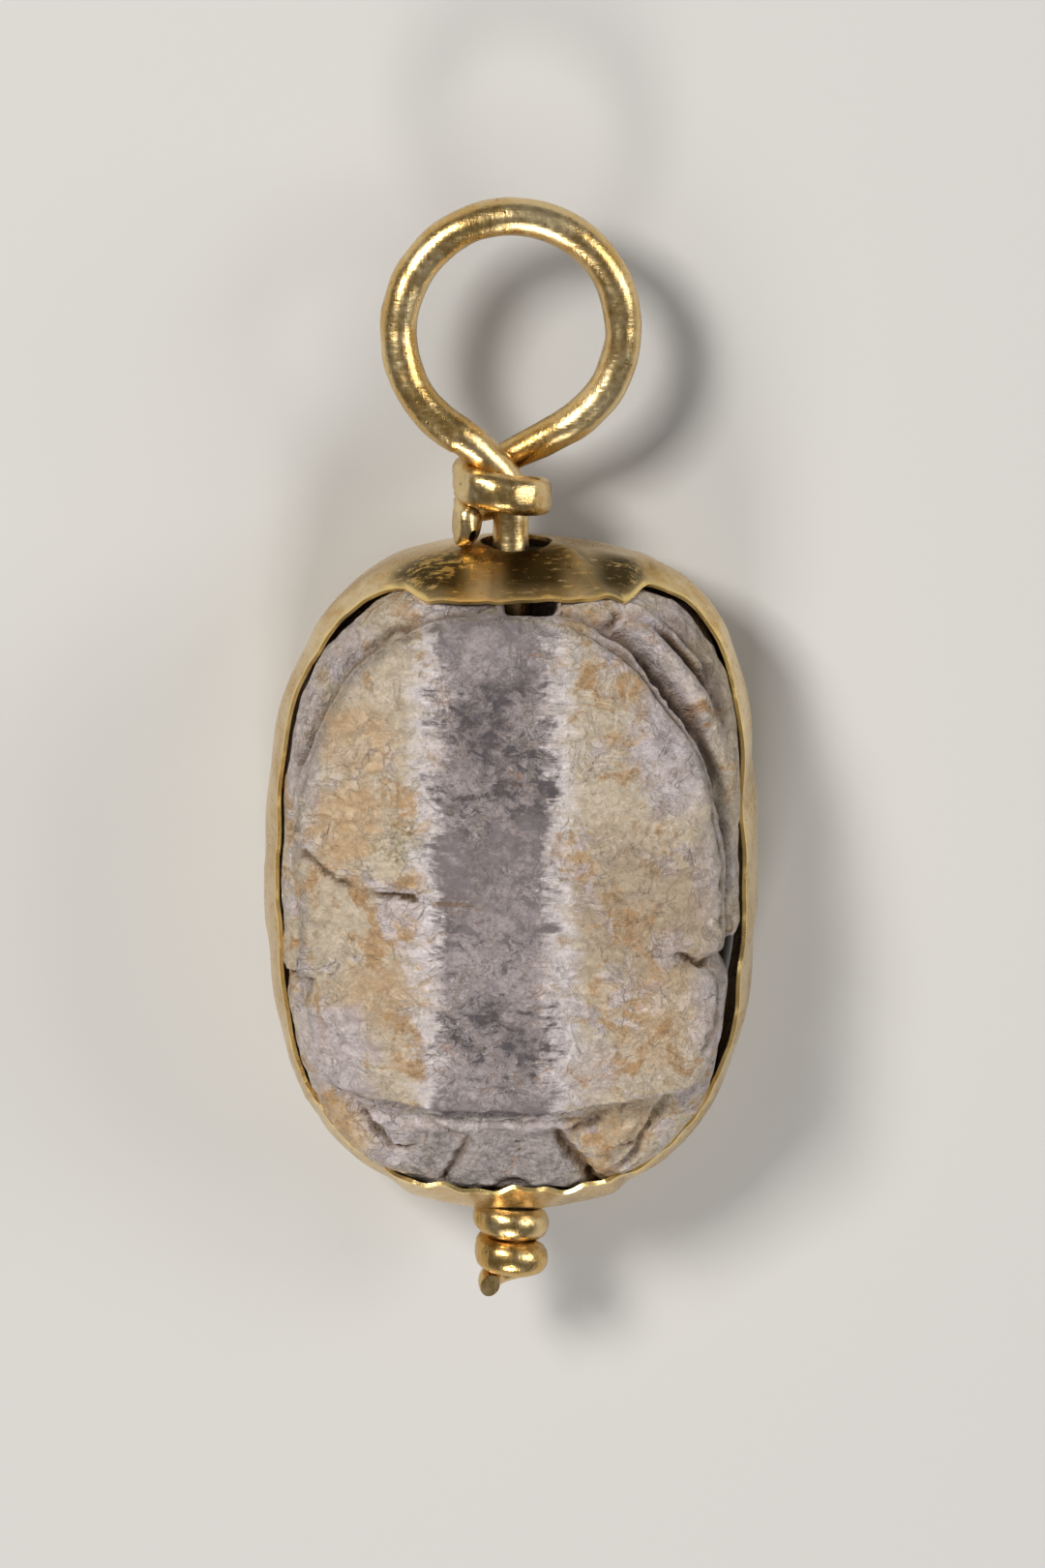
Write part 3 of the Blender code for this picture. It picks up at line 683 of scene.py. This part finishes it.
def strip_places(angle, row):
    """Places on the strip's inner face: row runs from 0 at its lower edge to 1."""
    swell = 4.0 * row * (1.0 - row)
    tail = np.sin(angle) > 0.0
    half_width = SIDE_REACH + 0.55 * MM * swell
    half_length = END_REACH + np.where(tail, 0.45 + 1.0 * swell, 1.15 * swell) * MM
    radius = outline_reach(angle, half_width, half_length, strip_power(angle, row))
    x = radius * np.cos(angle)
    y = radius * np.sin(angle)
    # Lobes at both ends, with kinked shoulders
    at_end = ease((np.abs(y) / HALF_LENGTH - 0.8) / 0.1)
    right = np.where(tail, LOBE_RIGHT_AT_TAIL, LOBE_RIGHT_AT_HEAD)
    left_run = np.where(tail, LONG_SHOULDER_RUN, SHOULDER_RUN)
    lobe = at_end * ease((x - LOBE_LEFT) / left_run) * ease((right - x) / SHOULDER_RUN)
    ragged = 0.09 * MM * np.sin(x / MM * 2.3 + 1.0) + 0.06 * MM * np.sin(x / MM * 5.1 + y / MM * 3.0)
    torn = bell(angle, TORN_PLACE, 0.3) * (0.16 * np.sin(x / MM * 8.0) + 0.1 * np.sin(x / MM * 19.0))
    ragged = ragged + torn * MM + 0.05 * MM * np.sin(y / MM * 1.9)
    ragged = ragged + 0.03 * MM * np.sin(y / MM * 6.3 + 2.0)
    z = STRIP_LOW + row * (STRIP_WIDTH + LOBE_RISE * lobe + ragged * (1.0 - 0.6 * lobe))
    # The lobes lean in over the stone, the tail's more
    over = ease((z - 6.0 * MM) / (3.2 * MM)) * lobe
    y = y - np.where(tail, 0.62, -0.3) * MM * over
    # Pushed out round the wire: a lip at the tail, a flared neck at the head
    away = np.hypot(x, z - BORE_HEIGHT)
    lip = np.where(tail, 0.25, 0.15) * MM * ease(1.5 - away / (2.2 * MM)) * at_end
    y = y + np.where(tail, lip, -lip)
    # The tail's lobe is creased beside the hole and pressed in below it
    crease = bell(x - 0.65 * (z - BORE_HEIGHT), 1.9 * MM, 0.8 * MM) * ease((z / MM - 5.0) / 1.5)
    small = bell(x, -0.95 * MM, 0.4 * MM) * ease((z / MM - 5.5) / 1.0)
    pressed = 0.6 * bell(x, -0.8 * MM, 3.2 * MM) * ease((z / MM - 5.6) / 2.0)
    y = y + np.where(tail, 0.2 * crease + 0.07 * small - 0.25 * pressed, 0.0) * MM * at_end
    wavy = 0.10 * np.sin(x / MM * 1.9 + 0.6) + 0.07 * np.sin(x / MM * 4.3 + 1.1)
    y = y + np.where(tail, 0.3, 1.0) * wavy * MM * ease(row * 4.0 - 3.0) * at_end
    # Dents and waves of the worn sheet
    dent = 0.10 * MM * np.sin(angle * 7.0 + row * 2.0) * np.sin(angle * 3.0 + 1.3)
    dent = dent + 0.05 * MM * np.sin(angle * 17.0 + row * 5.0)
    dent = np.minimum(dent, 0.06 * MM) * ease(row * 3.0) * (1.0 - at_end * 0.6)
    x = x + dent * np.cos(angle) * (1.0 - at_end)
    y = y + dent * 0.5 * np.sin(angle) * (1.0 - at_end)
    return np.stack([x, y, z], axis=1)


bpy.ops.object.select_all(action="DESELECT")
bpy.ops.mesh.primitive_circle_add(vertices=AROUND_STRIP, radius=1.0, fill_type="NOTHING")
strip = bpy.context.object
strip.name = "gold_sheet_strip"
bpy.ops.object.mode_set(mode="EDIT")
bpy.ops.mesh.select_all(action="SELECT")
for _ in range(STRIP_ROWS):
    bpy.ops.mesh.extrude_region_move(TRANSFORM_OT_translate={"value": (0.0, 0.0, 1.0 / STRIP_ROWS)})
bpy.ops.mesh.select_all(action="SELECT")
bpy.ops.mesh.normals_make_consistent(inside=False)
bpy.ops.object.mode_set(mode="OBJECT")
flat = places_of(strip)
move_to(strip, strip_places(np.arctan2(flat[:, 1], flat[:, 0]), flat[:, 2]))
wall = strip.modifiers.new("sheet", "SOLIDIFY")
wall.thickness = SHEET
wall.offset = 1.0
wall.use_even_offset = True
bpy.ops.object.modifier_apply(modifier="sheet")
# The tail's hole is wide and low, because the sheet is pressed down over it
tail_hole = rod("tail_hole", TAIL_HOLE_WIDTH, TAIL_HOLE_START, HOLES_END, across=TAIL_HOLE_PLACE)
bpy.ops.transform.resize(value=(1.0, 1.0, TAIL_HOLE_SQUASH),
                         center_override=(0.0, 0.0, BORE_HEIGHT + 0.1 * MM))
bpy.ops.object.transform_apply(location=True, scale=True)
combine(strip, tail_hole, "DIFFERENCE")
combine(strip, rod("head_hole", HEAD_HOLE_WIDTH, -HOLES_END, -HEAD_HOLE_START), "DIFFERENCE")


def old_gold(name, rich, pale, gloss, hammer, hammered):
    """High-carat gold, scratched and pitted, with painted dark reflections and a painted highlight along
    a rubbed edge, from the layers that a piece carries.
    """
    paint = Paint(name)
    cloud = paint.noise(3.0 * MM, detail=5.0)
    fine = paint.noise(0.35 * MM, detail=5.0, roughness=0.65)
    scratch = paint.noise(0.12 * MM, detail=3.0, stretch=(14.0, 1.0, 1.0), turn=(0.2, 0.1, 0.7))
    scratch_two = paint.noise(0.10 * MM, detail=3.0, stretch=(1.0, 16.0, 1.0), turn=(0.1, 0.3, -0.4))
    pits = paint.cells(0.55 * MM).rise(0.16, 0.05)
    facets = paint.cells(hammer, kind="SMOOTH_F1")
    colour = (cloud + (fine - 0.5) * 0.5).rise(0.35, 0.68).mix(rich, pale)
    grime = fine.rise(0.58, 0.75) * cloud.rise(0.45, 0.65)
    colour = (grime * 0.35).mix(colour, tone(110, 72, 34))
    colour = (pits * 0.5).mix(colour, tone(90, 62, 30))
    streak = paint.noise(0.16 * MM, detail=5.0, roughness=0.7, stretch=(5.0, 1.5, 1.0),
                         turn=(0.0, 0.0, 0.35))
    # Painted dark reflections on the leaning lobes, broken up by streaks
    dark_reflection = paint.attribute("dark_reflection") * (cloud * 0.3 + fine * 0.3 + streak * 0.6).rise(0.5, 0.6)
    colour = (paint.attribute("dark_reflection") * 0.5).mix(colour, tone(196, 158, 74))
    colour = (dark_reflection * 0.95).mix(colour, tone(58, 46, 16))
    # A painted highlight along the strip's rubbed upper edge
    worn = paint.attribute("worn")
    colour = (worn * 0.8).mix(colour, tone(255, 226, 150))
    paint.feed("Base Color", colour)
    paint.feed("Metallic", 1.0)
    rough = gloss + (cloud - 0.5) * 0.22 + (fine - 0.5) * 0.25 + grime * 0.15
    paint.feed("Roughness", rough.clamped())
    height = (facets * hammered + cloud * 0.5 + fine * 0.2 + scratch * 0.3 + scratch_two * 0.26
              - pits * 0.14)
    paint.bump(height, 0.09 * MM, 0.5)
    return paint.material


# Painted dark reflections on the leaning lobes, left out where painted highlights fall and eased off near
# the upper edge, and a painted highlight along the rubbed upper edge
strip_now = places_of(strip)
strip_angle = np.arctan2(strip_now[:, 1], strip_now[:, 0])
lobe_share = (ease((strip_now[:, 0] / MM + 5.4) / 0.8) * ease((6.0 - strip_now[:, 0] / MM) / 0.8)
              * ease((strip_now[:, 2] / MM - 5.4) / 1.4))
edge_height = strip_places(strip_angle, np.ones(len(strip_now)))[:, 2]
highlight_places = bell(strip_now[:, 0], -1.1 * MM, 1.3 * MM) + 0.8 * bell(strip_now[:, 0], 2.9 * MM, 1.2 * MM)
edge_brightening = ease((strip_now[:, 2] - edge_height + 0.8 * MM) / (0.6 * MM))
at_tail = strip_now[:, 1] > 0.0
lobe_dark_reflection = at_tail * lobe_share * (1.0 - 0.7 * highlight_places) * (1.0 - 0.35 * edge_brightening)
paint_layer(strip, "dark_reflection", lobe_dark_reflection)
# The thin bright line along the top of the edge is a painted highlight
paint_layer(strip, "worn", ease((strip_now[:, 2] - edge_height + 0.09 * MM) / (0.08 * MM)))
sheet_gold = old_gold("sheet_gold_worn", tone(200, 166, 106), tone(226, 206, 168), gloss=0.3,
                      hammer=1.8 * MM, hammered=0.3)
finish_piece(strip, sheet_gold, "gold_strip", 40.0)


# The gold wire: one round hammered wire. It is bent into the hanging ring, wound
# round its own stem, led through the strip and the bore, and coiled at its far
# end. Here a curve along its route is made a mesh and then beaten.

RING_WIRE = 1.6 * MM
STEM_WIRE = 1.55 * MM
STEM_AT_KNOT = 1.5 * MM
KNOT_WIRE = 1.24 * MM
COIL_WIRE = 1.42 * MM
CUT_END_WIRE = 0.9 * MM
RING_HALF_WIDTH = 4.65 * MM
RING_HALF_HEIGHT = 4.775 * MM
RING_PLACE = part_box("gold_wire")[1].y - RING_HALF_HEIGHT - RING_WIRE / 2
KNOT_WIDTH = 4.5 * MM
KNOT_SHIFT = 0.36 * MM
KNOT_PITCH = 1.5 * MM
KNOT_DROP = 2.2 * MM
KNOT_BREADTH = 1.35
KNOT_TURNS = 1.6
KNOT_REACH = 2.12 * MM
FIRST_TURN = -50.0
LAST_TURN = 402.0
TURN_DOWN = 350.0
STUB_WIRE = 1.5 * MM
STUB_DROP = 0.55 * MM
BRANCH_OFFSET = 0.65 * MM
BRANCH_CROSSING = 2.3
COIL_BREADTH = 1.1
COIL_REACH = 1.66 * MM
COIL_SHIFT = 0.1 * MM
COIL_WIDTH = 3.3 * MM
COIL_PITCH = 1.5 * MM
COIL_TURNS = 2.0
COIL_TOP = -14.42 * MM
COIL_START = math.radians(160.0)
RING_FIRST = math.radians(243.0)
RING_LAST = math.radians(-57.0)
HAMMER_FACETS = 13
STEPS_PER_TURN = 48


def bend(start, start_pull, end, end_pull, count):
    """Points between two places, leaving and arriving along the given pulls."""
    points = []
    for step in range(1, count + 1):
        s = step / (count + 1)
        points.append((2 * s ** 3 - 3 * s ** 2 + 1) * start + (s ** 3 - 2 * s ** 2 + s) * start_pull
                      + (3 * s ** 2 - 2 * s ** 3) * end + (s ** 3 - s ** 2) * end_pull)
    return points


def coil(turn):
    """The coil sinks as it turns from the left over the front."""
    angle = COIL_START + math.tau * turn
    radius = (COIL_WIDTH - COIL_WIRE) / 2
    level = 0.7 * (math.cos(angle) - math.cos(COIL_START)) / math.tau
    return Vector((radius * math.cos(angle), COIL_TOP - (COIL_TURNS - turn - level) * COIL_PITCH,
                   BORE_HEIGHT + radius * math.sin(angle)))


def ring(angle):
    """An upright oval whose left branch passes in front of the right one."""
    share = (angle - RING_LAST) / (RING_FIRST - RING_LAST)
    lift = BRANCH_OFFSET * (1.0 - BRANCH_CROSSING * (1.0 - share))
    return Vector((RING_HALF_WIDTH * math.cos(angle), RING_PLACE + RING_HALF_HEIGHT * math.sin(angle),
                   BORE_HEIGHT + lift))


KNOT_PLACE = ring(RING_LAST).y - KNOT_DROP


def knot(degrees):
    """Behind the stem, round its left side to the front, and once more to the left."""
    angle = math.radians(degrees)
    across = (KNOT_WIDTH - KNOT_WIRE) / 2
    turned_down = STUB_DROP * max(degrees - TURN_DOWN, 0.0) / (LAST_TURN - TURN_DOWN)
    sunk = KNOT_PITCH * degrees / 360.0 + turned_down
    return Vector((-KNOT_SHIFT - across * math.cos(angle), KNOT_PLACE - sunk,
                   BORE_HEIGHT + 0.94 * across * math.sin(angle)))


def wire_route():
    """Centre line of the wire with its diameter at each point."""
    route = []

    def add(points, first_width, last_width=None):
        last = first_width if last_width is None else last_width
        for index, point in enumerate(points):
            share = index / max(len(points) - 1, 1)
            route.append((point, first_width + (last - first_width) * share))

    steps = round(COIL_TURNS * STEPS_PER_TURN)
    turns = [COIL_TURNS * step / steps for step in range(steps + 1)]
    tapered = steps // 5
    add([coil(turn) for turn in turns[:tapered]], CUT_END_WIRE, COIL_WIRE)
    add([coil(turn) for turn in turns[tapered:]], COIL_WIRE)
    mouth = Vector((0.0, -HALF_LENGTH - 0.3 * MM, BORE_HEIGHT))
    coil_radius = (COIL_WIDTH - COIL_WIRE) / 2
    leaving = (coil(COIL_TURNS) - coil(COIL_TURNS - 0.05)).normalized() * 1.6 * coil_radius
    arriving = Vector((0.0, 1.6 * (mouth.y - COIL_TOP), 0.0))
    add(bend(coil(COIL_TURNS), leaving, mouth, arriving, 16), COIL_WIRE, STEM_WIRE)
    inside = [mouth + Vector((0.0, -2 * mouth.y * step / 40, 0.0)) for step in range(41)]
    add(inside, STEM_WIRE)

    throat = Vector((0.0, KNOT_PLACE - 0.5 * KNOT_PITCH, BORE_HEIGHT))
    stem = [inside[-1].lerp(throat, step / 14) for step in range(1, 15)]
    add(stem, STEM_WIRE, STEM_AT_KNOT)
    tangent = (ring(RING_FIRST - 0.02) - ring(RING_FIRST)).normalized()
    leaving = Vector((0.0, 1.6 * RING_WIRE, 0.0))
    add(bend(throat, leaving, ring(RING_FIRST), tangent * 1.4 * RING_WIRE, 16),
        STEM_AT_KNOT, 0.95 * RING_WIRE)
    steps = round(3.5 * STEPS_PER_TURN)
    add([ring(RING_FIRST + (RING_LAST - RING_FIRST) * step / steps) for step in range(steps + 1)],
        RING_WIRE)

    tangent = (ring(RING_LAST) - ring(RING_LAST + 0.02)).normalized()
    arriving = (knot(FIRST_TURN + 1.0) - knot(FIRST_TURN)).normalized() * 1.6 * RING_WIRE
    add(bend(ring(RING_LAST), tangent * 2.4 * RING_WIRE, knot(FIRST_TURN), arriving, 20),
        RING_WIRE, KNOT_WIRE)
    steps = round(KNOT_TURNS * STEPS_PER_TURN)
    sweep = [FIRST_TURN + (LAST_TURN - FIRST_TURN) * step / steps for step in range(steps + 1)]
    add([knot(degrees) for degrees in sweep[:-10]], KNOT_WIRE)
    add([knot(degrees) for degrees in sweep[-10:-3]], KNOT_WIRE, STUB_WIRE)
    add([knot(degrees) for degrees in sweep[-3:]], 0.95 * STUB_WIRE, 0.3 * STUB_WIRE)
    return route


bpy.ops.object.select_all(action="DESELECT")
line = bpy.data.curves.new("gold_wire_round", "CURVE")
line.dimensions = "3D"
line.bevel_depth = RING_WIRE / 2
line.bevel_resolution = 8
line.render_resolution_u = 0
line.use_fill_caps = True
route = wire_route()
spline = line.splines.new("POLY")
spline.points.add(len(route) - 1)
for point, (place, width) in zip(spline.points, route):
    point.co = (*place, 1.0)
    point.radius = width / RING_WIRE
wire = bpy.data.objects.new("gold_wire_round", line)
bpy.context.scene.collection.objects.link(wire)
bpy.context.view_layer.objects.active = wire
wire.select_set(True)
bpy.ops.object.convert(target="MESH")
wire = bpy.context.object
wire_places = places_of(wire)
wire_facing = facing_of(wire)
# The point of the route that each vertex stands round
ring_size = len(wire_places) // len(route)
section = np.minimum(np.arange(len(wire_places)) // ring_size, len(route) - 1)
centres = np.array([place for place, _ in route])
offset = wire_places - centres[section]
# The knot was hammered flat and broad round the stem, and the coil a little
in_knot = section >= len(route) - round(KNOT_TURNS * STEPS_PER_TURN)
in_coil = section <= round(COIL_TURNS * STEPS_PER_TURN)
marks = np.random.default_rng(5).uniform(-0.07, 0.0, len(route))[section]
wire_places[in_knot] += offset[in_knot] * (-0.05, KNOT_BREADTH - 1.0, -0.05)
wire_places[in_coil] += offset[in_coil] * (-0.04, COIL_BREADTH - 1.0, -0.04)


def hammer_round(places, middle, reach, lean):
    """Beat the outside of a wrap round the Y axis into a ring of flat facets."""
    across = places[:, 0] - middle
    high = places[:, 2] - BORE_HEIGHT
    turn = np.arctan2(high, across) + lean * places[:, 1] / MM
    within = (turn % (math.tau / HAMMER_FACETS)) - math.pi / HAMMER_FACETS
    limit = reach * math.cos(math.pi / HAMMER_FACETS) / np.cos(within)
    keep = np.minimum(1.0, limit / np.maximum(np.hypot(across, high), 1e-9))
    return np.stack([middle + across * keep, places[:, 1], BORE_HEIGHT + high * keep], axis=1)


wire_places[in_knot] = hammer_round(wire_places[in_knot], -KNOT_SHIFT, KNOT_REACH, 0.15)
wire_places[in_knot] += (marks[:, None] * offset)[in_knot] * (1.0, 0.2, 1.0)
wire_places[in_coil] = hammer_round(wire_places[in_coil], COIL_SHIFT, COIL_REACH, 0.5)
# Small unevenness all along, which only takes gold away
uneven = 0.03 * MM * waver(wire_places, 2.2 * MM, 21) + 0.006 * MM * waver(wire_places, 0.8 * MM, 22)
move_to(wire, wire_places - np.clip(uneven + 0.02 * MM, 0.0, 0.1 * MM)[:, None] * wire_facing)
wire_gold = old_gold("wire_gold_worn", tone(206, 168, 100), tone(230, 206, 156), gloss=0.29,
                     hammer=1.3 * MM, hammered=0.35)
finish_piece(wire, wire_gold, "gold_wire", 50.0)


# The table, light and camera: a plain pale table and soft studio lamps. The
# camera looks down from above, leaning a little towards the ring, as the
# photograph was taken.

TABLE_SIZE = 2.0
LAMP_TARGET = Vector((0.0, 0.0, 0.005))
ROOM_TONE = (0.3, 0.3, 0.31, 1.0)
ROOM_STRENGTH = 0.4
CAMERA_LEAN = math.radians(12.5)
CAMERA_DISTANCE = 0.425
CAMERA_TARGET = Vector((0.48, 4.16, 5.7)) * MM

bpy.ops.object.select_all(action="DESELECT")
bpy.ops.mesh.primitive_plane_add(size=TABLE_SIZE)
table = bpy.context.object
table.name = "table"
matt = Paint("table_matt")
matt.feed("Base Color", tone(184, 182, 178))
matt.feed("Roughness", 0.8)
table.data.materials.append(matt.material)


def lamp(name, place, size, power, colour):
    """A soft square lamp that faces the amulet."""
    light = bpy.data.lights.new(name, "AREA")
    light.size = size
    light.energy = power
    light.color = colour
    holder = bpy.data.objects.new(name, light)
    bpy.context.scene.collection.objects.link(holder)
    holder.location = place
    holder.rotation_euler = (LAMP_TARGET - Vector(place)).to_track_quat("-Z", "Y").to_euler()


lamp("key", (-0.2, 0.2, 0.36), 0.12, 2.0, (1.0, 0.985, 0.96))
lamp("fill", (0.34, 0.08, 0.24), 0.22, 0.8, (0.97, 0.98, 1.0))
lamp("low", (-0.04, -0.34, 0.24), 0.12, 1.05, (1.0, 0.98, 0.96))
world = bpy.data.worlds.new("studio")
world.use_nodes = True
world.node_tree.nodes["Background"].inputs["Color"].default_value = ROOM_TONE
world.node_tree.nodes["Background"].inputs["Strength"].default_value = ROOM_STRENGTH
bpy.context.scene.world = world

lens = bpy.data.cameras.new("camera")
lens.sensor_width = 36.0
lens.lens = 234.0
camera = bpy.data.objects.new("camera", lens)
bpy.context.scene.collection.objects.link(camera)
camera.location = (CAMERA_TARGET
                   + CAMERA_DISTANCE * Vector((0.0, math.sin(CAMERA_LEAN), math.cos(CAMERA_LEAN))))
camera.rotation_euler = (-CAMERA_LEAN, 0.0, 0.0)
bpy.context.scene.camera = camera
bpy.context.scene.view_settings.view_transform = "Standard"
